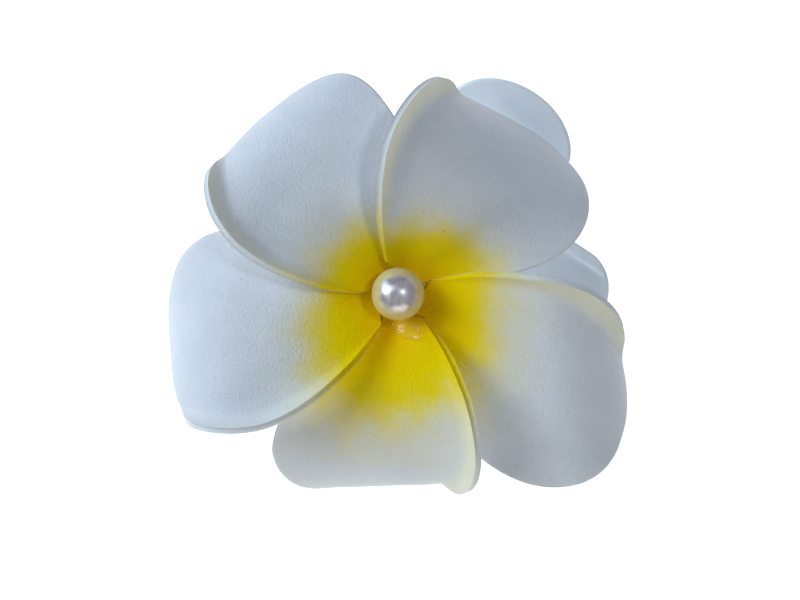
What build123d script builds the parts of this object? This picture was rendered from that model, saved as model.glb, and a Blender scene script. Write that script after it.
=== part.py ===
from build123d import *
from math import asin, atan2, ceil, cos, degrees, hypot, pi, radians, sin, tan
import os

# Flower hair clip: a sprung claw clip with a foam frangipani glued on its front jaw.
# Millimetres.  X runs along the hinge, Y from the teeth to the finger tabs, Z up.
# The clip lies closed on the back of its rear jaw; the flower faces straight up.
# It is drawn about the hinge axis and moved at the end to the centre of its footprint.

# --- claw: shared profile of both jaws, seen along X, measured from the hinge axis ---
HINGE_Z = 15.8           # hinge axis above the table
WALL = 2.3               # thickness of the moulded jaws
BELLY_Y = -22.0          # centre of the round hair channel
BELLY_R = 13.5           # inner radius of the hair channel
WAIST_Y = 1.5            # centre of the inward bend at the hinge
WAIST_H = 14.0
WAIST_R = 9.0
TAB_SLOPE = 19.5         # flare of the finger tab, degrees
TAB_END_Y = 23.3         # reach of the finger tab
TOOTH_END = 191.0        # angle round the channel where the teeth end, degrees
SLOT_START = 108.0       # angle where the slots between the teeth start, degrees

# --- claw: plan outline ---
BODY_HALF = 35.5         # half length of the jaw
SHOULDER_Y = 3.4         # top edge of the wide part of the jaw
SHOULDER_R = 8.4
EDGE_ROUND = 0.7
TAB_HALF = 13.9          # half width of the finger tab
TAB_ROUND = 9.75         # height of the tab's rounded end
TOOTH_PITCH = 8.8
TOOTH_WIDTH = 4.05
TOOTH_ROUND = 0.4

# --- hinge ---
PIN_R = 1.2
PIN_HALF = 15.65
PIN_HEAD_R = 1.9
RUNNING_GAP = 0.05       # radial play of the front lugs on the pin
LUG_R = 3.4
LUG_THICK = 3.5
FRONT_LUG_X = 9.9        # middle of the front jaw's lugs
REAR_LUG_X = 13.8        # middle of the rear jaw's lugs
COIL_R = 3.15            # mean radius of the spring
WIRE_R = 0.55
COIL_TURNS = 6
COIL_PITCH = 1.3
LEG_SLOPE = 14.0         # slope of a leg where it leaves the coil, degrees
LEG_KNEE = 5.5           # the legs bend outwards here
LEG_END = (14.0, 8.0)

# --- centre of the footprint, seen from the hinge ---
FOOT_X = 3.6
FOOT_Y = -22.09

# --- flower, in its own frame: origin on the flower's axis, Z out of the flower ---
FLOWER_X = -0.8
FLOWER_Y = -25.0
FLOWER_Z = 36.5
FLOWER_TURN = 33.0       # turns the flower's zero direction onto the clip, degrees
FOAM = 1.2               # petal sheet
PEARL_R = 5.0
PEARL_H = 8.0
DISC_R = 15.0
DISC_THICK = 1.5
PAD_THICK = 0.8

# Every petal: direction, skew of the roll, reach of the roll, flat half widths
# (curled side, tucked side), flat length, squareness of the corners (curled side,
# tucked side), how far the curl's crease runs in towards the tip, pinwheel lean.
PETALS = {
    "petal_1": (123.5, 10.5, 45.6, 20.1, 20.0, 42.3, 1.95, 2.9, 0.24, 0.12),
    "petal_2": (55.8, 8.4, 40.9, 18.0, 24.5, 42.8, 2.35, 2.0, 0.20, 0.26),
    "petal_3": (-32.3, 42.0, 41.5, 18.5, 20.2, 49.6, 2.15, 2.25, 0.03, 0.20),
    "petal_4": (-96.9, 12.0, 37.4, 18.2, 22.4, 48.1, 2.25, 1.6, 0.08, 0.20),
    "petal_5": (187.9, -6.5, 46.2, 20.7, 18.5, 47.8, 2.0, 1.8, 0.15, 0.12),
}
ROOT_OUT = 3.5           # petal roots start this far from the axis
ROOT_SIDE = 1.8          # and are shifted this far to the curled side
ROOT_HALF = 2.9          # half width of a root
CURL_R = 2.2             # radius of the upturned edge
CURL_TURN = 66.0         # how far the edge turns up, degrees
CURL_WIDTH = 5.0         # strip of sheet taken by the curl
CURLED_WIDEST = 0.57     # where along the petal each side is widest
TUCKED_WIDEST = 0.6
ROLL_R = 17.0            # radius of the rolled-back tip
CUP_SLOPE = 0.55         # slope of the flower's cup at its axis
CUP_R = 27.0             # radius where the cup levels out
TWIST = 2.6              # extra pinwheel step near the roots
ROWS = 21
COLUMNS = 31


def eased(value, start, end):
    part = min(max((value - start) / (end - start), 0.0), 1.0)
    return part * part * (3 - 2 * part)


def grown_width(part, widest, widest_at):
    """Half width of the flat petal from its root up to its widest place, then constant."""
    return ROOT_HALF + (widest - ROOT_HALF) * sin(min(part / widest_at, 1.0) * pi / 2)


def half_width(part, widest, widest_at, roundness):
    """Half width of the flat petal at a fraction of its length, with a round tip."""
    beyond = max((part - widest_at) / (1 - widest_at), 0.0)
    tip = max(1 - beyond ** roundness, 0.0) ** (1 / roundness)
    return grown_width(part, widest, widest_at) * tip


def petal_point(shape, part, across):
    """Upper surface of a formed petal; part runs root to tip, across from -1 to 1."""
    direction, skew, reach, curled_half, tucked_half, length = shape[:6]
    curled_corner, tucked_corner, crease_in, lean = shape[6:]
    edge = half_width(part, curled_half, CURLED_WIDEST, curled_corner)
    if across < 0:
        edge = half_width(part, tucked_half, TUCKED_WIDEST, tucked_corner)
    along = part * length
    side = across * edge
    # the curled edge
    strip = CURL_WIDTH * sin(min(part / 0.5, 1.0) * pi / 2)
    crease = grown_width(part, curled_half, CURLED_WIDEST)
    crease = crease * (1 - crease_in * eased(part, 0.6, 1.0)) - strip
    over = max(side - crease, 0.0)
    turn = min(over / CURL_R, radians(CURL_TURN))
    straight = over - CURL_R * turn
    height = CURL_R * (1 - cos(turn)) + straight * sin(turn)
    if over > 0:
        side = crease + CURL_R * sin(turn) + straight * cos(turn)
    # the rolled-back tip, rolled about a line turned by the skew
    out = along * cos(radians(skew)) + side * sin(radians(skew))
    beside = side * cos(radians(skew)) - along * sin(radians(skew))
    roll_start = reach - ROOT_OUT - ROLL_R
    rolled = max(out - roll_start, 0.0) / ROLL_R
    if rolled > 0:
        out = roll_start + (ROLL_R + height) * sin(rolled)
        height = (ROLL_R + height) * cos(rolled) - ROLL_R
    px = ROOT_OUT + out * cos(radians(skew)) - beside * sin(radians(skew))
    py = ROOT_SIDE + out * sin(radians(skew)) + beside * cos(radians(skew))
    # the cup of the flower and the pinwheel lean
    radius = hypot(px, py)
    inner = min(radius, CUP_R)
    height = height + CUP_SLOPE * (inner - inner * inner / (2 * CUP_R))
    height = height + lean * py + TWIST * py / (radius + 1)
    return Vector(px, py, height).rotate(Axis.Z, direction)


def petal_normal(shape, part, across):
    """Unit normal of the upper surface, by small differences."""
    step = 0.002
    part_a = max(part - step, 0.0)
    part_b = min(part + step, 1.0)
    across_a = max(across - step, -1.0)
    across_b = min(across + step, 1.0)
    lengthwise = petal_point(shape, part_b, across) - petal_point(shape, part_a, across)
    crosswise = petal_point(shape, part, across_b) - petal_point(shape, part, across_a)
    return lengthwise.cross(crosswise).normalized()


def petal(shape):
    """A foam sheet: upper and lower surfaces joined by four narrow cut edges.
    The columns lie closer together towards the curled side."""
    upper = []
    lower = []
    for row in range(ROWS):
        part = 0.985 * (1 - (1 - row / (ROWS - 1)) ** 1.5)
        upper_row = []
        lower_row = []
        for column in range(COLUMNS):
            across = 1 - 2 * (1 - column / (COLUMNS - 1)) ** 1.3
            point = petal_point(shape, part, across)
            upper_row.append(point)
            lower_row.append(point - petal_normal(shape, part, across) * FOAM)
        upper.append(upper_row)
        lower.append(lower_row)
    top = Face.make_surface_from_array_of_points(upper, tol=0.1, smoothing=(1, 1, 1), max_deg=6)
    bottom = Face.make_surface_from_array_of_points(lower, tol=0.1, smoothing=(1, 1, 1), max_deg=6)
    sides = []
    for edge in top.edges():
        twin = bottom.edges().sort_by_distance(edge.center())[0]
        sides.append(Face.make_surface_from_curves(edge, twin))
    sheet = Solid(Shell([top, bottom] + sides))
    return on_clip(sheet)


def on_clip(shape):
    """Moves a shape from the flower's own frame onto the clip."""
    turned = shape.rotate(Axis.Z, FLOWER_TURN)
    return turned.moved(Location((FLOWER_X, FLOWER_Y, FLOWER_Z)))


def waist_angle():
    """Slope of the straight run between the hair channel and the waist, degrees."""
    across = WAIST_Y - BELLY_Y
    spread = hypot(across, WAIST_H)
    return degrees(atan2(WAIST_H, across) - asin((BELLY_R + WAIST_R) / spread))


def arc_point(centre, radius, angle):
    """Point of a circle in the profile plane."""
    return (centre[0] + radius * cos(radians(angle)), centre[1] + radius * sin(radians(angle)))


def jaw_profile():
    """Closed outline of a jaw's wall: belly, straight run, waist, and an overlong finger tab
    that the plan outline then cuts round."""
    belly = (BELLY_Y, 0)
    waist = (WAIST_Y, WAIST_H)
    leave = 90 + waist_angle()
    start = arc_point(waist, WAIST_R, TAB_SLOPE - 90)
    run = TAB_END_Y + 4 - start[0]
    lift = sin(radians(TAB_SLOPE))
    level = cos(radians(TAB_SLOPE))
    inner_end = (start[0] + run, start[1] + run * lift / level)
    outer_end = (inner_end[0] - WALL * lift, inner_end[1] + WALL * level)
    outer_r = BELLY_R + WALL
    bend_r = WAIST_R - WALL
    with BuildSketch(Plane.YZ) as profile:
        with BuildLine():
            CenterArc(belly, BELLY_R, leave, TOOTH_END - leave)
            Line(arc_point(belly, BELLY_R, leave), arc_point(waist, WAIST_R, leave + 180))
            CenterArc(waist, WAIST_R, leave + 180, TAB_SLOPE + 90 - leave)
            Line(start, inner_end)
            Line(inner_end, outer_end)
            Line(outer_end, arc_point(waist, bend_r, TAB_SLOPE - 90))
            CenterArc(waist, bend_r, leave + 180, TAB_SLOPE + 90 - leave)
            Line(arc_point(waist, bend_r, leave + 180), arc_point(belly, outer_r, leave))
            CenterArc(belly, outer_r, leave, TOOTH_END - leave)
            Line(arc_point(belly, outer_r, TOOTH_END), arc_point(belly, BELLY_R, TOOTH_END))
        make_face()
    return profile.sketch


def on_tab_corner(vertex):
    """True for the two inner corners between the tab and the shoulders."""
    return abs(abs(vertex.X) - TAB_HALF) < 0.01 and vertex.Y < SHOULDER_Y + 0.5


def plan_outline():
    """The jaw seen from above: wide body with round shoulders and a round finger tab."""
    with BuildSketch() as plan:
        with Locations((0, (SHOULDER_Y - 45) / 2)):
            RectangleRounded(2 * BODY_HALF, SHOULDER_Y + 45, SHOULDER_R)
        with Locations((0, (TAB_END_Y - TAB_ROUND) / 2)):
            Rectangle(2 * TAB_HALF, TAB_END_Y - TAB_ROUND)
        with Locations((0, TAB_END_Y - TAB_ROUND)):
            Ellipse(TAB_HALF, TAB_ROUND)
    corners = plan.sketch.vertices().filter_by(on_tab_corner)
    return fillet(corners, 3.5)


def tooth_slots(offset):
    """Round-ended slots that cut a jaw's wall into teeth, seen from above."""
    gap = TOOTH_PITCH - TOOTH_WIDTH
    start = BELLY_Y + (BELLY_R + WALL) * cos(radians(SLOT_START))
    slot = Pos(0, start - 30) * Rectangle(gap, 60) + Pos(0, start) * Circle(gap / 2)
    count = 2 * ceil(BODY_HALF / TOOTH_PITCH) + 2
    slots = []
    for index in range(count):
        middle = (index - count / 2) * TOOTH_PITCH + offset
        slots.append(Pos(middle, 0, -30) * extrude(slot, amount=60))
    return slots


def lug(middle, hole_r):
    """One hinge ear: a barrel on the pin, joined to the waist of the jaw."""
    upper = [(-4.6, 8.4), (-1.6, 6.5), (1.5, 6.0), (4.4, 6.6), (6.2, 7.2)]
    web = make_face(Polyline((-3.2, 0), *upper, (3.2, 0), close=True))
    side = web + Circle(LUG_R) - Circle(hole_r)
    return Plane.YZ.offset(middle - LUG_THICK / 2) * extrude(side, amount=LUG_THICK)


def on_outline(edge):
    """True for the long edges round a jaw's outline, not those along or through the wall."""
    straight = edge.geom_type == GeomType.LINE
    along_hinge = straight and abs((edge % 0.5).X) > 0.99
    through_wall = straight and edge.length < WALL + 1
    return not (along_hinge or through_wall)


def on_slot(edge):
    """True for the edges of the slots between the teeth."""
    middle = edge.center()
    return -45 < middle.Y < -25 and abs(middle.X) < BODY_HALF - 1.5 and edge.length > 3


def jaw(tooth_offset, lug_x, hole_r):
    """One moulded jaw, its inside facing down, the hinge axis at the origin."""
    wall = Pos(-BODY_HALF - 1, 0, 0) * extrude(jaw_profile(), amount=2 * BODY_HALF + 2)
    body = wall & (Pos(0, 0, -30) * extrude(plan_outline(), amount=60))
    body = fillet(body.edges().filter_by(on_outline), EDGE_ROUND)
    body = body - tooth_slots(tooth_offset)
    body = fillet(body.edges().filter_by(on_slot), TOOTH_ROUND)
    for middle in (-lug_x, lug_x):
        body = body + lug(middle, hole_r)
    return body.solids().sort_by(SortBy.VOLUME)[-1]


def front_jaw():
    return jaw(0.0, FRONT_LUG_X, PIN_R + RUNNING_GAP).moved(Location((0, 0, HINGE_Z)))


def rear_jaw():
    shape = jaw(TOOTH_PITCH / 2, REAR_LUG_X, PIN_R + 0.01).mirror(Plane.XY)
    return shape.moved(Location((0, 0, HINGE_Z)))


def hinge_pin():
    """Steel pin with a small peened head at each end."""
    shank = Cylinder(PIN_R, 2 * PIN_HALF)
    head = Cylinder(PIN_HEAD_R, 0.7, align=(Align.CENTER, Align.CENTER, Align.MIN))
    head = fillet(head.edges().group_by(Axis.Z)[-1], 0.4)
    pin = shank + Pos(0, 0, PIN_HALF) * head + Pos(0, 0, -PIN_HALF) * head.rotate(Axis.X, 180)
    return pin.rotate(Axis.Y, 90).moved(Location((0, 0, HINGE_Z)))


def rod(start, end):
    """Straight piece of spring wire between two points of the profile plane, with round ends."""
    run = (end[0] - start[0], end[1] - start[1])
    line = Plane(origin=(0, start[0], start[1]), z_dir=(0, run[0], run[1]))
    shaft = line * Cylinder(WIRE_R, hypot(run[0], run[1]), align=(Align.CENTER, Align.CENTER, Align.MIN))
    ball = Sphere(WIRE_R + 0.03)
    return shaft + Pos(0, start[0], start[1]) * ball + Pos(0, end[0], end[1]) * ball


def torsion_spring():
    """Coil round the pin with one straight leg under each finger tab."""
    leave = 90 + LEG_SLOPE
    turns = COIL_TURNS - 1 + (360 - 2 * leave) / 360
    height = turns * COIL_PITCH
    corner = arc_point((0, 0), COIL_R, leave)
    start = Plane(
        origin=(-height / 2, 0, 0),
        x_dir=(0, cos(radians(leave)), sin(radians(leave))),
        z_dir=(1, 0, 0),
    )
    path = start * Helix(COIL_PITCH, height, COIL_R)
    coil = sweep(Plane(origin=path @ 0, z_dir=path % 0) * Circle(WIRE_R), path, is_frenet=True)
    knee_height = corner[1] + (LEG_KNEE - corner[0]) * tan(radians(LEG_SLOPE))
    knee = (LEG_KNEE, knee_height)
    leg = rod(corner, knee) + rod(knee, LEG_END)
    front = leg.moved(Location((-height / 2, 0, 0)))
    rear = leg.mirror(Plane.XY).moved(Location((height / 2, 0, 0)))
    spring = coil + front + rear
    return spring.moved(Location((0, 0, HINGE_Z)))


def clip_glue_pad():
    """Hot glue between the round back of the front jaw and the flower's backing disc."""
    top = HINGE_Z + BELLY_R + WALL + PAD_THICK
    outline = Pos(FLOWER_X, FLOWER_Y + 1.5) * Ellipse(13, 7.5)
    pad = Pos(0, 0, top - 4) * extrude(outline, amount=4)
    jaw_round = Cylinder(BELLY_R + WALL, 60).rotate(Axis.Y, 90)
    return pad - jaw_round.moved(Location((0, BELLY_Y, HINGE_Z)))


def backing_disc():
    """Foam disc that the flower is built on."""
    base = HINGE_Z + BELLY_R + WALL + PAD_THICK
    disc = Cylinder(DISC_R, DISC_THICK, align=(Align.CENTER, Align.CENTER, Align.MIN))
    return disc.moved(Location((FLOWER_X, FLOWER_Y, base)))


def petal_root_glue():
    """Hot glue that holds the five petal roots, with a plug up to the pearl."""
    base = HINGE_Z + BELLY_R + WALL + PAD_THICK + DISC_THICK
    low = base - FLOWER_Z
    puddle = Cylinder(8.5, -0.2 - low, align=(Align.CENTER, Align.CENTER, Align.MIN))
    puddle = fillet(puddle.edges().group_by(Axis.Z)[-1], 0.6)
    plug = Cylinder(3.45, PEARL_H - PEARL_R - 0.05 - low, align=(Align.CENTER, Align.CENTER, Align.MIN))
    return (puddle + plug).moved(Location((FLOWER_X, FLOWER_Y, base)))


def pearl_glue():
    """Clear glue squeezed out beside the pearl: a low bead lying on the petal under it."""
    bead = scale(Sphere(1), by=(3.5, 2.7, 1.6))
    bead = bead & Box(10, 10, 10, align=(Align.CENTER, Align.CENTER, Align.MIN))
    on_petal = Plane(origin=(2.4, -6.3, 5.45), x_dir=(1, 0, 0.52), z_dir=(-0.52, 0.33, 1))
    return on_clip(on_petal * bead) - pearl_bead()


def pearl_bead():
    return Sphere(PEARL_R).moved(Location((FLOWER_X, FLOWER_Y, FLOWER_Z + PEARL_H)))


def write(name, shape):
    placed = shape.moved(Location((-FOOT_X, -FOOT_Y, 0)))
    export_step(placed, os.path.join("parts", name + ".step"))


os.makedirs("parts", exist_ok=True)
for petal_name, petal_shape in PETALS.items():
    write(petal_name, petal(petal_shape))
write("front_jaw", front_jaw())
write("rear_jaw", rear_jaw())
write("hinge_pin", hinge_pin())
write("torsion_spring", torsion_spring())
write("clip_glue_pad", clip_glue_pad())
write("backing_disc", backing_disc())
write("petal_root_glue", petal_root_glue())
write("pearl_bead", pearl_bead())
write("pearl_glue", pearl_glue())
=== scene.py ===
import math
import bpy
import bmesh
import numpy as np
from mathutils import Matrix, Vector, noise


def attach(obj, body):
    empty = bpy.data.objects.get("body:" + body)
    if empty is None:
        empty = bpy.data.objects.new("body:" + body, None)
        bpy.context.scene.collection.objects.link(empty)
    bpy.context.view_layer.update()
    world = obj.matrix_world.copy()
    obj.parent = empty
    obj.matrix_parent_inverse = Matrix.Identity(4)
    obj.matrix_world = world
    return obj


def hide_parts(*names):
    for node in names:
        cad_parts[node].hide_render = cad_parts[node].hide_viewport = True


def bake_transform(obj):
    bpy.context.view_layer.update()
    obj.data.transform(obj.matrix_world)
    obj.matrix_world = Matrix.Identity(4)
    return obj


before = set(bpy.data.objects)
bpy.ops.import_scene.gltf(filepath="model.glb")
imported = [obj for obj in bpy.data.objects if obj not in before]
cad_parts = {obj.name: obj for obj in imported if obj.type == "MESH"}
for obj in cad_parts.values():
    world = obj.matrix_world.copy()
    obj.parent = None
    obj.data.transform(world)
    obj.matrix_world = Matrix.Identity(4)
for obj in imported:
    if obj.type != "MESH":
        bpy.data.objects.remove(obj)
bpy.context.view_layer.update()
MM = 0.001
FRONT = "front_body"

# ---------------------------------------------------------------- places in the row frame
FLOWER = np.array([-4.4, -2.91, 36.5])      # origin of the flower's own frame, mm
FLOWER_TURN = 33.0                           # degrees
HINGE = np.array([-3.6, 22.09, 15.8])       # a point of the hinge axis, mm
PEARL_Z = 8.0
PEARL_R = 5.0


def on_clip(points):
    """Points of the flower's own frame, in mm, moved onto the clip, in metres."""
    points = np.asarray(points, float)
    turn = math.radians(FLOWER_TURN)
    x = points[..., 0] * math.cos(turn) - points[..., 1] * math.sin(turn)
    y = points[..., 0] * math.sin(turn) + points[..., 1] * math.cos(turn)
    return (np.stack([x, y, points[..., 2]], -1) + FLOWER) * MM


def mesh_object(name, points, faces, smooth=True):
    mesh = bpy.data.meshes.new(name)
    mesh.from_pydata([tuple(p) for p in points], [], [tuple(f) for f in faces])
    mesh.update()
    if smooth:
        mesh.polygons.foreach_set("use_smooth", [True] * len(mesh.polygons))
    obj = bpy.data.objects.new(name, mesh)
    bpy.context.scene.collection.objects.link(obj)
    return obj


def add_attribute(obj, name, values):
    layer = obj.data.attributes.new(name, "FLOAT", "POINT")
    layer.data.foreach_set("value", np.asarray(values, np.float32).ravel())


# ---------------------------------------------------------------- node helpers
class Nodes:
    """Short hand for building a material's node tree."""

    def __init__(self, name):
        self.material = bpy.data.materials.new(name)
        self.material.use_nodes = True
        self.tree = self.material.node_tree
        self.shader = self.tree.nodes["Principled BSDF"]

    def new(self, kind, **settings):
        node = self.tree.nodes.new(kind)
        for key, value in settings.items():
            setattr(node, key, value)
        return node

    def put(self, socket, value):
        if isinstance(value, bpy.types.NodeSocket):
            self.tree.links.new(value, socket)
        elif isinstance(value, tuple) and len(value) == 3 and socket.type == "RGBA":
            socket.default_value = value + (1.0,)
        else:
            socket.default_value = value

    def set(self, **values):
        for key, value in values.items():
            self.put(self.shader.inputs[key.replace("_", " ")], value)

    def where(self):
        return self.new("ShaderNodeTexCoord").outputs["Object"]

    def noise(self, scale, detail=3.0, rough=0.5, vector=None, distortion=0.0):
        node = self.new("ShaderNodeTexNoise")
        self.put(node.inputs["Vector"], vector if vector is not None else self.where())
        node.inputs["Scale"].default_value = scale
        node.inputs["Detail"].default_value = detail
        node.inputs["Roughness"].default_value = rough
        node.inputs["Distortion"].default_value = distortion
        return node.outputs["Fac"]

    def cells(self, scale, feature="F1", vector=None):
        node = self.new("ShaderNodeTexVoronoi", feature=feature)
        self.put(node.inputs["Vector"], vector if vector is not None else self.where())
        node.inputs["Scale"].default_value = scale
        return node.outputs["Distance"]

    def math(self, operation, a, b=0.0, c=None, clamp=False):
        node = self.new("ShaderNodeMath", operation=operation, use_clamp=clamp)
        self.put(node.inputs[0], a)
        self.put(node.inputs[1], b)
        if c is not None:
            self.put(node.inputs[2], c)
        return node.outputs[0]

    def fit(self, value, low, high, to_low=0.0, to_high=1.0, smooth=False):
        node = self.new("ShaderNodeMapRange", clamp=True)
        if smooth:
            node.interpolation_type = "SMOOTHSTEP"
        self.put(node.inputs["Value"], value)
        node.inputs["From Min"].default_value = low
        node.inputs["From Max"].default_value = high
        node.inputs["To Min"].default_value = to_low
        node.inputs["To Max"].default_value = to_high
        return node.outputs["Result"]

    def mix(self, factor, a, b, blend="MIX"):
        node = self.new("ShaderNodeMix", data_type="RGBA", blend_type=blend)
        self.put(node.inputs["Factor"], factor)
        self.put(node.inputs["A"], a)
        self.put(node.inputs["B"], b)
        return node.outputs["Result"]

    def ramp(self, factor, stops):
        node = self.new("ShaderNodeValToRGB")
        self.put(node.inputs["Fac"], factor)
        ramp = node.color_ramp
        while len(ramp.elements) < len(stops):
            ramp.elements.new(0.5)
        for element, (place, colour) in zip(ramp.elements, stops):
            element.position = place
            element.color = tuple(colour) + (1.0,)
        return node.outputs["Color"]

    def attribute(self, name):
        return self.new("ShaderNodeAttribute", attribute_name=name).outputs["Fac"]

    def bump(self, *layers):
        """Each layer is (height, strength, distance in metres)."""
        normal = None
        for height, strength, distance in layers:
            node = self.new("ShaderNodeBump")
            self.put(node.inputs["Height"], height)
            node.inputs["Strength"].default_value = strength
            node.inputs["Distance"].default_value = distance
            if normal is not None:
                self.put(node.inputs["Normal"], normal)
            normal = node.outputs["Normal"]
        self.put(self.shader.inputs["Normal"], normal)


# ---------------------------------------------------------------- materials
def foam_material():
    """White closed-cell foam with an airbrushed yellow heart."""
    n = Nodes("foam_sheet")
    heart = n.attribute("heart")
    curl = n.attribute("curl")
    cut = n.attribute("cut")
    cloud = n.noise(110.0, 3.0)
    grain = n.noise(2300.0, 2.0, 0.6)
    pores = n.cells(1900.0)
    spray = n.noise(1700.0, 2.0, 0.7)
    fibre = n.noise(420.0, 4.0, 0.6)
    white = n.mix(n.fit(cloud, 0.35, 0.65), (0.80, 0.82, 0.86), (0.85, 0.87, 0.90))
    white = n.mix(n.fit(grain, 0.35, 0.7, 0.0, 0.30), white, (0.70, 0.73, 0.78))
    cream = n.mix(n.fit(fibre, 0.3, 0.7), (0.86, 0.82, 0.52), (0.87, 0.85, 0.64))
    tinted = n.mix(n.math("MULTIPLY", curl, n.fit(heart, 0.9, 2.6, 0.95, 0.60)), white, cream)
    # painted highlight: the cut edges are tinted a lighter, bluer white than the rest of the foam, as if lit
    # by the key light
    tinted = n.mix(n.math("MULTIPLY", cut, 0.5), tinted, (0.86, 0.90, 0.95))
    # the spray: dense at the root, thinning outwards in fine dots
    loose = n.fit(heart, 0.6, 1.3, 0.01, 0.06)
    reach = n.math("ADD", heart, n.math("MULTIPLY", n.fit(spray, 0.25, 0.75, -1.0, 1.0), loose))
    reach = n.math("ADD", reach, n.fit(n.noise(190.0, 2.0), 0.3, 0.7, -0.07, 0.07))
    dye = n.ramp(n.math("MULTIPLY", reach, 0.5), [
        (0.0, (0.96, 0.50, 0.0)), (0.20, (0.98, 0.62, 0.0)), (0.36, (1.0, 0.74, 0.0)),
        (0.60, (0.96, 0.77, 0.0)), (1.0, (0.92, 0.78, 0.08)),
    ])
    cover = n.ramp(n.math("MULTIPLY", reach, 0.5), [
        (0.0, (1.0, 1.0, 1.0)), (0.38, (1.0, 1.0, 1.0)), (0.44, (0.98, 0.98, 0.98)),
        (0.50, (0.84, 0.84, 0.84)), (0.58, (0.50, 0.50, 0.50)), (0.66, (0.22, 0.22, 0.22)),
        (0.76, (0.06, 0.06, 0.06)), (0.90, (0.0, 0.0, 0.0)),
    ])
    colour = n.mix(cover, tinted, dye)
    # a few tiny dark specks
    speck = n.cells(230.0)
    speck_on = n.math("GREATER_THAN", n.noise(90.0, 0.0), 0.60)
    dot = n.math("MULTIPLY", n.fit(speck, 0.03, 0.055, 0.5, 0.0), speck_on)
    colour = n.mix(dot, colour, (0.30, 0.29, 0.27))
    n.set(Base_Color=colour, Roughness=n.fit(grain, 0.3, 0.7, 0.50, 0.70))
    n.set(Specular_Tint=n.mix(cover, (1.0, 1.0, 1.0), (1.0, 0.80, 0.05)))
    n.shader.inputs["Specular IOR Level"].default_value = 0.22
    n.shader.inputs["Subsurface Weight"].default_value = 0.10
    n.shader.inputs["Subsurface Radius"].default_value = (1.0, 0.9, 0.75)
    n.shader.inputs["Subsurface Scale"].default_value = 0.0010
    n.bump((grain, 0.75, 0.00018), (pores, 0.55, 0.00014), (fibre, 0.06, 0.0003))
    return n.material


def pearl_material():
    """Cream lacquer with a nacre sheen that shows most where the bead faces the eye; the grey-pink of the
    facing core is partly a painted reflection of the surroundings, and the yellow of the rim is partly the
    bead's cream and partly a painted reflection of the petals.
    """
    n = Nodes("pearl_lacquer")
    facing = n.new("ShaderNodeLayerWeight")
    facing.inputs["Blend"].default_value = 0.42
    swirl = n.noise(330.0, 4.0, 0.6, distortion=1.4)
    # painted reflection by view angle: the facing core is darkened to grey-pink for the surroundings it would
    # mirror, and the rim turns yellow for the petals around it
    core_with_painted_reflection = n.mix(n.fit(swirl, 0.38, 0.62), (0.62, 0.54, 0.51), (0.88, 0.82, 0.82))
    rim_with_painted_reflection = n.mix(n.fit(swirl, 0.35, 0.65), (0.80, 0.62, 0.22), (0.86, 0.71, 0.34))
    edge = n.fit(facing.outputs["Facing"], 0.14, 0.38, smooth=True)
    n.set(Base_Color=n.mix(edge, core_with_painted_reflection, rim_with_painted_reflection))
    n.set(Roughness=n.fit(swirl, 0.3, 0.7, 0.28, 0.38))
    n.set(Metallic=n.fit(edge, 0.0, 1.0, 0.45, 0.0))
    n.set(Coat_Weight=n.fit(edge, 0.0, 1.0, 0.9, 0.15))
    n.shader.inputs["Specular IOR Level"].default_value = 0.5
    n.shader.inputs["Coat Roughness"].default_value = 0.16
    n.shader.inputs["Subsurface Weight"].default_value = 0.1
    n.shader.inputs["Subsurface Scale"].default_value = 0.001
    n.bump((n.noise(240.0, 1.0), 0.25, 0.0003))
    return n.material


def glue_material(name, clear, solid):
    """Hot glue: clear amber with a wrinkled skin, with painted glints along a few ridges."""
    n = Nodes(name)
    cloud = n.noise(700.0, 3.0, distortion=1.0)
    wrinkle = n.noise(520.0, 2.0, 0.5, distortion=1.6)
    ridge = n.fit(n.math("ABSOLUTE", n.math("SUBTRACT", wrinkle, 0.5)), 0.006, 0.020, 1.0, 0.0)
    # painted glints: along a few wrinkle ridges the glue is coloured near white, made opaque and set to glow
    # faintly
    painted_glint = n.math("MULTIPLY", ridge, n.fit(n.noise(430.0, 1.0), 0.55, 0.62))
    amber = n.mix(n.fit(cloud, 0.35, 0.75), (0.96, 0.74, 0.0), (0.97, 0.82, 0.12))
    n.set(Base_Color=n.mix(painted_glint, amber, (1.0, 0.98, 0.90)))
    n.set(Emission_Color=(1.0, 0.97, 0.85), Emission_Strength=n.math("MULTIPLY", painted_glint, 0.25))
    n.set(Roughness=n.fit(cloud, 0.3, 0.7, 0.08, 0.18))
    n.set(Alpha=n.math("MAXIMUM", painted_glint, n.fit(cloud, 0.35, 0.75, clear, solid)))
    n.shader.inputs["Specular IOR Level"].default_value = 0.5
    n.bump((wrinkle, 0.5, 0.0004), (n.noise(1600.0, 3.0), 0.2, 0.0002))
    return n.material


def jaw_material():
    """Moulded white plastic, a little blue, satin gloss with faint flow marks and scuffs."""
    n = Nodes("jaw_plastic")
    flow = n.noise(55.0, 4.0, distortion=0.6)
    fine = n.noise(3200.0, 2.0)
    scuff = n.noise(480.0, 5.0, 0.7)
    colour = n.mix(n.fit(flow, 0.35, 0.65), (0.86, 0.93, 0.98), (0.90, 0.95, 0.99))
    colour = n.mix(n.fit(scuff, 0.55, 0.8, 0.0, 0.25), colour, (0.74, 0.81, 0.90))
    n.set(Base_Color=colour, Roughness=n.fit(scuff, 0.3, 0.75, 0.24, 0.40))
    n.shader.inputs["Subsurface Weight"].default_value = 0.08
    n.shader.inputs["Subsurface Scale"].default_value = 0.0015
    n.shader.inputs["Coat Weight"].default_value = 0.15
    n.shader.inputs["Coat Roughness"].default_value = 0.2
    n.bump((fine, 0.08, 0.00004), (flow, 0.06, 0.0004))
    return n.material


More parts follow.
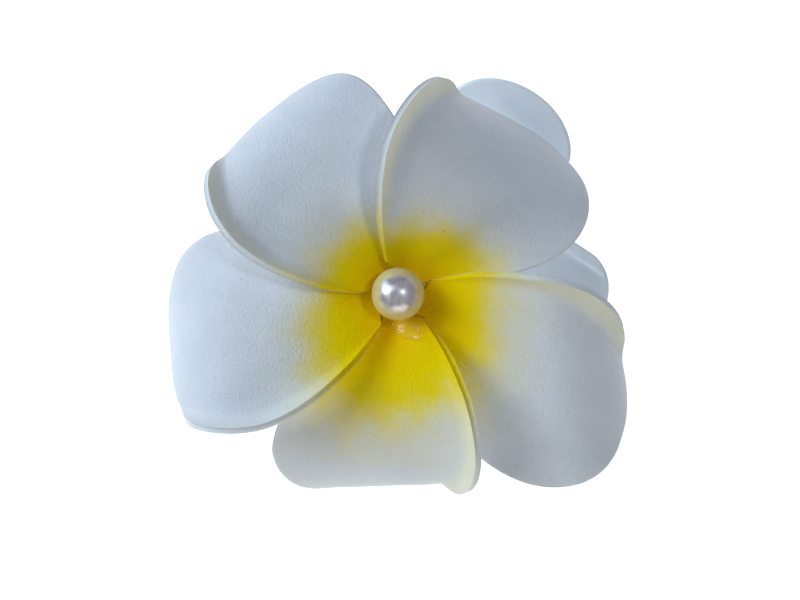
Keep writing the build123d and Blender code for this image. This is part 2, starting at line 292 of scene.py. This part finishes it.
def steel_material():
    """Bright drawn steel wire with fine lines along X."""
    n = Nodes("drawn_steel")
    stretch = n.new("ShaderNodeMapping")
    n.put(stretch.inputs["Vector"], n.where())
    stretch.inputs["Scale"].default_value = (1.0, 9.0, 9.0)
    lines = n.noise(700.0, 3.0, vector=stretch.outputs["Vector"])
    blot = n.noise(300.0, 3.0)
    n.set(Base_Color=n.mix(n.fit(blot, 0.35, 0.7), (0.62, 0.62, 0.64), (0.50, 0.50, 0.51)))
    n.set(Roughness=n.fit(lines, 0.3, 0.7, 0.22, 0.40))
    n.shader.inputs["Metallic"].default_value = 1.0
    n.bump((lines, 0.12, 0.00005))
    return n.material


def felt_material():
    """Pressed white felt."""
    n = Nodes("pressed_felt")
    hair = n.noise(1300.0, 5.0, 0.75, distortion=1.6)
    clump = n.noise(240.0, 3.0)
    colour = n.mix(n.fit(hair, 0.35, 0.7), (0.70, 0.71, 0.73), (0.84, 0.84, 0.85))
    n.set(Base_Color=n.mix(n.fit(clump, 0.4, 0.7, 0.0, 0.4), colour, (0.78, 0.78, 0.78)))
    n.set(Roughness=n.fit(hair, 0.3, 0.7, 0.85, 0.98))
    n.shader.inputs["Sheen Weight"].default_value = 0.4
    n.bump((hair, 0.7, 0.0003), (clump, 0.3, 0.0004))
    return n.material


FOAM = foam_material()
PEARL = pearl_material()
GLUE = glue_material("glue_in_the_flower", 0.40, 0.70)
THIN_GLUE = glue_material("glue_by_the_pearl", 0.04, 0.14)
PLASTIC = jaw_material()
STEEL = steel_material()
FELT = felt_material()


def finish_piece(obj, material, body=None, replaces=()):
    obj.data.materials.clear()
    obj.data.materials.append(material)
    if body:
        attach(obj, body)
    if replaces:
        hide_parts(*replaces)
    return obj


# ---------------------------------------------------------------- petals
# Each petal: direction, skew of the roll, reach of the roll, flat half widths on the curled
# and the tucked side, flat length, squareness of the two corners, how far the curl's crease
# runs in towards the tip, pinwheel lean, how cream the curl is, and how far the yellow
# reaches on the tucked side, in the middle and on the curled side.
PETALS = {
    "petal_1": dict(turn=123.5, skew=10.5, reach=45.6, curled=20.1, tucked=20.0, length=42.3,
                    corners=(1.95, 2.9), crease=0.24, lean=0.12, cream=0.8, dye=(10.5, 13.3, 14.0)),
    "petal_2": dict(turn=55.8, skew=8.4, reach=40.9, curled=18.0, tucked=24.5, length=42.8,
                    corners=(2.35, 2.0), crease=0.20, lean=0.26, cream=1.0, dye=(17.0, 13.8, 11.2)),
    "petal_3": dict(turn=-32.3, skew=42.0, reach=41.5, curled=18.5, tucked=20.2, length=49.6,
                    corners=(2.15, 2.25), crease=0.03, lean=0.20, cream=0.9, dye=(21.5, 19.4, 16.4)),
    "petal_4": dict(turn=-96.9, skew=12.0, reach=37.4, curled=18.2, tucked=22.4, length=48.1,
                    corners=(2.25, 1.6), crease=0.08, lean=0.20, cream=1.0, dye=(23.0, 22.7, 20.4)),
    "petal_5": dict(turn=187.9, skew=-6.5, reach=46.2, curled=20.7, tucked=18.5, length=47.8,
                    corners=(2.0, 1.8), crease=0.15, lean=0.12, cream=0.2, dye=(10.5, 14.8, 19.8)),
}
SHEET = 1.2
ROOT_OUT = 3.5
ROOT_SIDE = 1.8
ROOT_HALF = 2.9
CURL_R = 2.2
CURL_TURN = math.radians(66)
CURL_WIDTH = 5.0
CURLED_WIDEST = 0.57
TUCKED_WIDEST = 0.6
ROLL_R = 17.0
CUP_SLOPE = 0.55
CUP_R = 27.0
TWIST = 2.6


def eased(value, start, end):
    part = np.clip((value - start) / (end - start), 0, 1)
    return part * part * (3 - 2 * part)


def grown_width(part, widest, widest_at):
    return ROOT_HALF + (widest - ROOT_HALF) * np.sin(np.clip(part / widest_at, 0, 1) * np.pi / 2)


def half_width(part, widest, widest_at, roundness):
    beyond = np.clip((part - widest_at) / (1 - widest_at), 0, 1)
    tip = np.clip(1 - beyond ** roundness, 0, 1) ** (1 / roundness)
    return grown_width(part, widest, widest_at) * tip


def petal_surface(s, part, across):
    """Upper surface of a formed petal in the flower's frame, and how far it has curled."""
    curled_edge = half_width(part, s["curled"], CURLED_WIDEST, s["corners"][0])
    tucked_edge = half_width(part, s["tucked"], TUCKED_WIDEST, s["corners"][1])
    edge = np.where(across > 0, curled_edge, tucked_edge)
    along = part * s["length"]
    flat_side = across * edge
    strip = CURL_WIDTH * np.sin(np.clip(part / 0.5, 0, 1) * np.pi / 2)
    crease = grown_width(part, s["curled"], CURLED_WIDEST)
    crease = crease * (1 - s["crease"] * eased(part, 0.6, 1.0)) - strip
    over = np.maximum(flat_side - crease, 0)
    turn = np.minimum(over / CURL_R, CURL_TURN)
    straight = over - CURL_R * turn
    height = CURL_R * (1 - np.cos(turn)) + straight * np.sin(turn)
    side = np.where(over > 0, crease + CURL_R * np.sin(turn) + straight * np.cos(turn), flat_side)
    # soft unevenness of a hand-formed sheet
    phase = math.radians(s["turn"])
    height = height + 0.22 * np.sin(along / 6.1 + phase) * np.sin(flat_side / 5.3 + 2 * phase)
    height = height + 0.10 * np.sin(along / 2.9 + 3 * phase) * np.sin(flat_side / 3.1 + phase)
    skew = math.radians(s["skew"])
    out = along * math.cos(skew) + side * math.sin(skew)
    beside = side * math.cos(skew) - along * math.sin(skew)
    start = s["reach"] - ROOT_OUT - ROLL_R
    rolled = np.maximum(out - start, 0) / ROLL_R
    lift = np.where(rolled > 0, (ROLL_R + height) * np.cos(rolled) - ROLL_R, height)
    out = np.where(rolled > 0, start + (ROLL_R + height) * np.sin(rolled), out)
    px = ROOT_OUT + out * math.cos(skew) - beside * math.sin(skew)
    py = ROOT_SIDE + out * math.sin(skew) + beside * math.cos(skew)
    radius = np.hypot(px, py)
    inner = np.minimum(radius, CUP_R)
    lift = lift + CUP_SLOPE * (inner - inner * inner / (2 * CUP_R))
    lift = lift + s["lean"] * py + TWIST * py / (radius + 1)
    heading = math.radians(s["turn"])
    x = px * math.cos(heading) - py * math.sin(heading)
    y = px * math.sin(heading) + py * math.cos(heading)
    return np.stack([x, y, lift], -1), turn / CURL_TURN


def unit(vectors):
    return vectors / np.maximum(np.linalg.norm(vectors, axis=-1, keepdims=True), 1e-9)


def build_petal(name, s, rows=120, columns=112):
    """A foam sheet with slightly rounded cut edges: upper grid, lower grid and an edge band."""
    v = np.linspace(0, 1, rows)
    part = (0.997 * (1 - (1 - v) ** 1.6))[:, None] * np.ones((1, columns))
    across = (1 - 2 * (1 - np.linspace(0, 1, columns)) ** 1.3)[None, :] * np.ones((rows, 1))
    surface, curl = petal_surface(s, part, across)
    step = 0.0015
    lengthwise = petal_surface(s, part + step, across)[0] - petal_surface(s, part - step, across)[0]
    inside = across * (1 - step * 2)
    crosswise = petal_surface(s, part, inside + step)[0] - petal_surface(s, part, inside - step)[0]
    normal = unit(np.cross(lengthwise, crosswise))
    # outward direction in the sheet's own plane, at its border
    ring = [(0, c) for c in range(columns)]
    ring += [(r, columns - 1) for r in range(1, rows)]
    ring += [(rows - 1, c) for c in range(columns - 2, -1, -1)]
    ring += [(r, 0) for r in range(rows - 2, 0, -1)]
    border = np.array([surface[r, c] for r, c in ring])
    up = np.array([normal[r, c] for r, c in ring])
    tangent = unit(np.roll(border, -1, 0) - np.roll(border, 1, 0))
    outward = unit(np.cross(tangent, up))
    round_r = 0.32
    points = [surface.reshape(-1, 3)]
    lower = surface - normal * SHEET
    points.append(lower.reshape(-1, 3))
    count = rows * columns
    band = []
    profile = []
    for angle in (30, 60, 90):
        a = math.radians(angle)
        profile.append((round_r * math.sin(a), round_r * (1 - math.cos(a))))
    bulge = 0.10
    for share in (0.33, 0.67):
        profile.append((round_r + bulge * math.sin(share * math.pi), round_r + share * (SHEET - 2 * round_r)))
    for angle in (90, 60, 30):
        a = math.radians(angle)
        profile.append((round_r * math.sin(a), SHEET - round_r * (1 - math.cos(a))))
    size = len(ring)
    base = 2 * count
    for out, down in profile:
        points.append(border + outward * out - up * down)
    faces = []
    for r in range(rows - 1):
        for c in range(columns - 1):
            a = r * columns + c
            quad = (a, a + 1, a + columns + 1, a + columns)
            faces.append(quad[::-1])
            faces.append(tuple(count + i for i in quad))
    loops = [[r * columns + c for r, c in ring]]
    for k in range(len(profile)):
        loops.append([base + k * size + i for i in range(size)])
    loops.append([count + r * columns + c for r, c in ring])
    for first, second in zip(loops, loops[1:]):
        for i in range(size):
            j = (i + 1) % size
            faces.append((first[i], first[j], second[j], second[i]))
    everything = np.concatenate(points)
    obj = mesh_object(name + "_foam", on_clip(everything), faces)
    # what the material needs to know
    heading = math.radians(s["turn"])
    px = surface[..., 0] * math.cos(heading) + surface[..., 1] * math.sin(heading)
    py = surface[..., 1] * math.cos(heading) - surface[..., 0] * math.sin(heading)
    aside = np.degrees(np.arctan2(py, np.maximum(px, 0.1)))
    heart = np.hypot(px, py) / np.interp(aside, (-35, 0, 35), s["dye"])
    heart = np.where(part * s["length"] > s["reach"] - 6, 9.0, heart).reshape(-1)
    ring_index = np.array([r * columns + c for r, c in ring])
    curl_flat = curl.reshape(-1) * s["cream"]
    heart_all = np.concatenate([heart, heart * 0.6 + 0.9] + [heart[ring_index] * 0.8 + 0.15] * len(profile))
    curl_all = np.concatenate([curl_flat, curl_flat * 0] + [curl_flat[ring_index] * 0.4] * len(profile))
    # cut marks the edge band, which the foam material lightens as a painted highlight
    cut_all = np.concatenate([heart * 0, heart * 0] + [np.ones(size)] * len(profile))
    add_attribute(obj, "heart", heart_all)
    add_attribute(obj, "curl", curl_all)
    add_attribute(obj, "cut", cut_all)
    mesh = bmesh.new()
    mesh.from_mesh(obj.data)
    bmesh.ops.remove_doubles(mesh, verts=mesh.verts, dist=1e-6)
    bmesh.ops.recalc_face_normals(mesh, faces=mesh.faces)
    mesh.to_mesh(obj.data)
    mesh.free()
    return finish_piece(obj, FOAM, FRONT, [name])


for petal_name, petal_shape in PETALS.items():
    build_petal(petal_name, petal_shape)


# ---------------------------------------------------------------- pearl and glue
def revolve(name, profile, segments, place):
    """Turns (radius, height) points in mm about the flower's axis."""
    points = []
    faces = []
    size = len(profile)
    for i in range(segments):
        a = 2 * math.pi * i / segments
        for r, h in profile:
            points.append((r * math.cos(a), r * math.sin(a), h))
    for i in range(segments):
        j = (i + 1) % segments
        for k in range(size - 1):
            faces.append((i * size + k, j * size + k, j * size + k + 1, i * size + k + 1))
    obj = mesh_object(name, place(np.array(points)), faces)
    mesh = bmesh.new()
    mesh.from_mesh(obj.data)
    bmesh.ops.remove_doubles(mesh, verts=mesh.verts, dist=1e-7)
    bmesh.ops.recalc_face_normals(mesh, faces=mesh.faces)
    mesh.to_mesh(obj.data)
    mesh.free()
    return obj


def build_pearl():
    """A bead with its drilled hole turned down into the glue."""
    hole = 0.55
    hole_end = -2.0
    profile = [(0.0, hole_end), (hole, hole_end)]
    for i in range(71):
        a = math.pi * (0.036 + (1 - 0.036) * i / 71)
        profile.append((PEARL_R * math.sin(a), -PEARL_R * math.cos(a)))
    profile.append((0.0, PEARL_R))

    def place(points):
        points = points.copy()
        wobble = 1 + 0.004 * np.sin(points[:, 0] * 0.7 + 1) * np.cos(points[:, 1] * 0.6)
        return on_clip(points * wobble[:, None] + np.array([0, 0, PEARL_Z]))

    obj = revolve("pearl_bead_drilled", profile, 96, place)
    return finish_piece(obj, PEARL, FRONT, ["pearl_bead"])


def lumpy(point, amount, size, seed):
    """Moves a point by smooth noise; mm."""
    v = Vector((point[0] / size + seed, point[1] / size - seed, point[2] / size))
    return amount * noise.noise(v)


def build_squeezed_glue(centre, radii, tilt, amount, seed):
    """A low bead of glue: a squashed ball, flat below, with a lumpy skin, kept off the pearl."""
    mesh = bmesh.new()
    bmesh.ops.create_icosphere(mesh, subdivisions=5, radius=1.0)
    x_axis = np.array([1.0, 0, tilt[0]])
    up = unit(np.array([-tilt[0], -tilt[1], 1.0]))
    x_axis = unit(x_axis - up * (x_axis @ up))
    y_axis = np.cross(up, x_axis)
    for vertex in mesh.verts:
        p = np.array(vertex.co)
        swell = 1 + lumpy(p, amount, 0.55, seed) + 0.5 * lumpy(p, amount, 0.25, seed + 7)
        height = max(p[2], -0.12) * radii[2] * swell
        q = centre + x_axis * p[0] * radii[0] * swell + y_axis * p[1] * radii[1] * swell + up * height
        away = q - np.array([0, 0, PEARL_Z])
        reach = np.linalg.norm(away)
        if reach < PEARL_R + 0.05:
            q = np.array([0, 0, PEARL_Z]) + away / reach * (PEARL_R + 0.05)
        vertex.co = Vector(on_clip(q))
    name = "pearl_glue_squeezed"
    obj_mesh = bpy.data.meshes.new(name)
    mesh.to_mesh(obj_mesh)
    mesh.free()
    obj_mesh.polygons.foreach_set("use_smooth", [True] * len(obj_mesh.polygons))
    obj = bpy.data.objects.new(name, obj_mesh)
    bpy.context.scene.collection.objects.link(obj)
    return finish_piece(obj, THIN_GLUE, FRONT, ["pearl_glue"])


build_pearl()
build_squeezed_glue(np.array([2.5, -6.2, 5.35]), (3.4, 2.6, 1.35), (0.52, -0.33), 0.35, 3.0)


def build_puddle(name, outline, low, high, seed, under=None, lump=0.25):
    """A flat layer between two surfaces; outline is (x, y) in mm about the flower's axis."""
    rings = 14
    count = len(outline)
    points = []
    faces = []
    shape = [(0.0, 0.0)]
    for k in range(1, rings + 1):
        shape.append((0.86 * k / rings, 0.0))
    shape += [(0.93, 0.03), (0.98, 0.14), (1.0, 0.32), (1.0, 0.5), (0.99, 0.68), (0.95, 0.86), (0.90, 0.97)]
    for k in range(rings, -1, -1):
        shape.append((0.84 * k / rings, 1.0))
    size = len(shape)
    for i, (x, y) in enumerate(outline):
        for scale, share in shape:
            px = x * scale
            py = y * scale
            bottom = under(px, py) if under else low
            top = high(px, py) if callable(high) else high
            wobble = 1 + lump * 0.12 * noise.noise(Vector((px / 3 + seed, py / 3, share * 2)))
            if 0.02 < share < 0.98:
                px *= wobble
                py *= wobble
            points.append((px, py, bottom + (top - bottom) * share))
    for i in range(count):
        j = (i + 1) % count
        for k in range(size - 1):
            faces.append((i * size + k, j * size + k, j * size + k + 1, i * size + k + 1))
    return mesh_object(name, points, faces)


def weld(obj):
    mesh = bmesh.new()
    mesh.from_mesh(obj.data)
    bmesh.ops.remove_doubles(mesh, verts=mesh.verts, dist=1e-7)
    bmesh.ops.recalc_face_normals(mesh, faces=mesh.faces)
    mesh.to_mesh(obj.data)
    mesh.free()


def to_row(obj):
    """Moves a mesh drawn in mm about the flower's axis, along X and Y of the row, onto the clip."""
    obj.data.transform(Matrix.Translation(Vector(FLOWER * MM)) @ Matrix.Scale(MM, 4))


def circle_outline(radius, count, seed, rough, squash=1.0):
    """An uneven circle or, squashed along Y, an ellipse."""
    points = []
    for i in range(count):
        a = 2 * math.pi * i / count
        swell = 1 + rough * noise.noise(Vector((math.cos(a) * 1.6 + seed, math.sin(a) * 1.6, seed)))
        points.append((radius * swell * math.cos(a), radius * squash * swell * math.sin(a)))
    return points


DISC_LOW = -4.1
DISC_HIGH = -2.6


def build_disc():
    obj = build_puddle(
        "backing_disc_felt", circle_outline(14.9, 120, 2.0, 0.004), DISC_LOW, DISC_HIGH, 1.0, lump=0.1,
    )
    weld(obj)
    to_row(obj)
    return finish_piece(obj, FELT, FRONT, ["backing_disc"])


def build_root_glue():
    def top(x, y):
        r = math.hypot(x, y)
        return -0.32 + 3.0 * max(0.0, 1 - (r / 3.4) ** 4) if r < 3.4 else -0.32

    obj = build_puddle(
        "petal_root_glue_puddle", circle_outline(8.2, 96, 5.0, 0.10), DISC_HIGH + 0.02, top, 4.0, lump=1.0,
    )
    weld(obj)
    to_row(obj)
    return finish_piece(obj, GLUE, FRONT, ["petal_root_glue"])


def build_pad():
    """Follows the round back of the jaw underneath."""
    round_r = 15.8
    centre_y = 3.0
    centre_z = HINGE[2] - FLOWER[2]

    def under(x, y):
        return centre_z + math.sqrt(round_r ** 2 - (y - centre_y) ** 2) + 0.02

    obj = build_puddle(
        "clip_glue_pad_puddle", circle_outline(12.6, 110, 9.0, 0.08, squash=0.563), 0, DISC_LOW - 0.02,
        8.0, under=under, lump=1.0,
    )
    for vertex in obj.data.vertices:
        vertex.co.y += 1.5
    for vertex in obj.data.vertices:
        floor_z = under(vertex.co.x, vertex.co.y)
        vertex.co.z = max(vertex.co.z, floor_z)
    weld(obj)
    to_row(obj)
    return finish_piece(obj, GLUE, FRONT, ["clip_glue_pad"])


build_disc()
build_root_glue()
build_pad()


# ---------------------------------------------------------------- spring
def build_spring():
    """The coil round the pin with a leg under each tab, as one swept wire."""
    coil_r = 3.15
    wire_r = 0.55
    pitch = 1.3
    leave = 104.0
    turns = 5 + (360 - 2 * leave) / 360
    height = turns * pitch
    slope = math.tan(math.radians(14.0))
    corner = (coil_r * math.cos(math.radians(leave)), coil_r * math.sin(math.radians(leave)))
    knee = (5.5, corner[1] + (5.5 - corner[0]) * slope)
    end = (14.0, 8.0)
    path = []
    leg = [end, knee, corner]
    for a, b in zip(leg, leg[1:]):
        for i in range(14):
            t = i / 14
            path.append((-height / 2, a[0] + (b[0] - a[0]) * t, a[1] + (b[1] - a[1]) * t))
    steps = 36 * 5 + 24
    for i in range(steps + 1):
        a = math.radians(leave + 360 * turns * i / steps)
        path.append((-height / 2 + height * i / steps, coil_r * math.cos(a), coil_r * math.sin(a)))
    for x, y, z in path[27::-1]:
        path.append((height / 2, y, -z))
    path = np.array(path)
    for _ in range(2):
        path[1:-1] = (path[:-2] + 2 * path[1:-1] + path[2:]) / 4
    tangent = unit(np.gradient(path, axis=0))
    side = np.cross(tangent, np.array([1.0, 0.2, 0.1]))
    side = unit(side)
    other = np.cross(tangent, side)
    sides = 14
    points = []
    faces = []
    for i in range(len(path)):
        for k in range(sides):
            a = 2 * math.pi * k / sides
            points.append(path[i] + wire_r * (side[i] * math.cos(a) + other[i] * math.sin(a)))
    for i in range(len(path) - 1):
        for k in range(sides):
            m = (k + 1) % sides
            faces.append((i * sides + k, i * sides + m, (i + 1) * sides + m, (i + 1) * sides + k))
    for row, sign in ((0, -1), (len(path) - 1, 1)):
        centre = len(points)
        points.append(path[row] + tangent[row] * sign * 0.12)
        for k in range(sides):
            m = (k + 1) % sides
            faces.append((row * sides + k, row * sides + m, centre))
    obj = mesh_object("torsion_spring_wire", (np.array(points) + HINGE) * MM, faces)
    weld(obj)
    finish_piece(obj, STEEL, replaces=["torsion_spring"])
    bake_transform(obj)
    return obj


build_spring()

# ---------------------------------------------------------------- the CAD nodes that stay
for node_name in ("front_jaw", "rear_jaw"):
    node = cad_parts[node_name]
    node.data.materials.clear()
    node.data.materials.append(PLASTIC)
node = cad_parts["hinge_pin"]
node.data.materials.clear()
node.data.materials.append(STEEL)

# ---------------------------------------------------------------- stage, light, camera
floor_mesh = bpy.data.meshes.new("floor")
half = 1.5
corners = [(-half, -half, 0), (half, -half, 0), (half, half, 0), (-half, half, 0)]
floor_mesh.from_pydata(corners, [], [(0, 1, 2, 3)])
floor = bpy.data.objects.new("floor", floor_mesh)
bpy.context.scene.collection.objects.link(floor)
paper = Nodes("floor_paper")
mottle = paper.fit(paper.noise(40.0), 0.4, 0.6)
paper.set(Base_Color=paper.mix(mottle, (0.93, 0.93, 0.93), (0.95, 0.95, 0.95)))
paper.shader.inputs["Roughness"].default_value = 0.95
paper.shader.inputs["Emission Color"].default_value = (1, 1, 1, 1)
paper.shader.inputs["Emission Strength"].default_value = 0.82
floor.data.materials.append(paper.material)

ROLL = math.radians(FLOWER_TURN)
RIGHT = Vector((math.cos(ROLL), math.sin(ROLL), 0))
UP = Vector((-math.sin(ROLL), math.cos(ROLL), 0))
TARGET = Vector((FLOWER + np.array([0, 0, PEARL_Z])) * MM)


def area_light(name, right, up, above, size, power, colour, size_y=None):
    """An area light placed by image directions, in metres from the pearl, aimed at it."""
    data = bpy.data.lights.new(name, "AREA")
    data.shape = "RECTANGLE" if size_y else "DISK"
    data.size = size
    if size_y:
        data.size_y = size_y
    data.energy = power
    data.color = colour
    obj = bpy.data.objects.new(name, data)
    place = TARGET + RIGHT * right + UP * up + Vector((0, 0, above))
    obj.location = place
    obj.rotation_euler = (TARGET - place).to_track_quat("-Z", "Y").to_euler()
    bpy.context.scene.collection.objects.link(obj)


area_light("key_left", -0.67, 0.37, 0.24, 0.50, 1.8, (0.33, 0.62, 1.0), 0.42)
area_light("key_higher", -0.62, 0.20, 0.45, 0.40, 2.2, (0.98, 1.0, 0.93), 0.40)
area_light("fill_low", 0.12, -0.72, 0.30, 0.80, 1.44, (1.0, 1.0, 0.87), 0.34)
area_light("top", 0.28, 0.12, 0.70, 0.12, 0.95, (0.80, 0.88, 1.0))
area_light("high_left", -0.40, 0.28, 0.62, 0.30, 0.58, (0.55, 0.70, 1.0), 0.30)

world = bpy.data.worlds.new("studio")
bpy.context.scene.world = world
world.use_nodes = True
world.node_tree.nodes["Background"].inputs["Color"].default_value = (0.75, 0.86, 1.0, 1)
world.node_tree.nodes["Background"].inputs["Strength"].default_value = 0.10
bpy.context.scene.view_settings.view_transform = "Standard"

camera_data = bpy.data.cameras.new("camera")
camera_data.sensor_width = 36.0
camera_data.lens = 36.0 / (800 / 5.3 / 300.0)
camera_data.clip_start = 0.01
camera = bpy.data.objects.new("camera", camera_data)
bpy.context.scene.collection.objects.link(camera)
camera.location = TARGET + RIGHT * (2 / 5.3 * MM) - UP * (6 / 5.3 * MM) + Vector((0, 0, 0.300))
camera.matrix_world = Matrix.Translation(camera.location) @ Matrix((
    (RIGHT.x, UP.x, 0, 0), (RIGHT.y, UP.y, 0, 0), (0, 0, 1, 0), (0, 0, 0, 1),
))
bpy.context.scene.camera = camera

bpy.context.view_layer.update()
